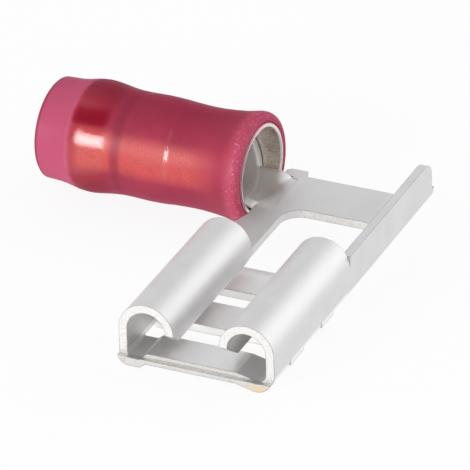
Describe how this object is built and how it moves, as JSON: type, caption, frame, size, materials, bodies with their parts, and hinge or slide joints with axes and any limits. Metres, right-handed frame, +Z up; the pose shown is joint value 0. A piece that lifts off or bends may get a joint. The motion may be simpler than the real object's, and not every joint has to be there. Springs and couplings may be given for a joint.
{
  "type": "flag spade terminal receptacle",
  "caption": "Right-angle pre-insulated push-on receptacle for a flat tab, with curled sheet sides, a rolled wire barrel and a translucent nylon sleeve.",
  "frame": {"origin": "middle of the mating tab at the slot's mouth", "axes": "+Y from the slot's mouth to the rear, +X across the slot towards the tall flange (the wire enters along +X from the insulating sleeve's tail), +Z up from the ladder floor to the curls"},
  "size_m": [0.0183, 0.0192, 0.0055],
  "materials": {
    "tinned_brass": "bright tin plate over brass, satin",
    "sleeve_metal": "drawn tinned copper, dull",
    "red_nylon": "translucent, smooth"
  },
  "bodies": {
    "root": {"terminal_stamping": "tinned_brass", "support_sleeve": "sleeve_metal", "insulating_sleeve": "red_nylon"}
  },
  "joints": []
}
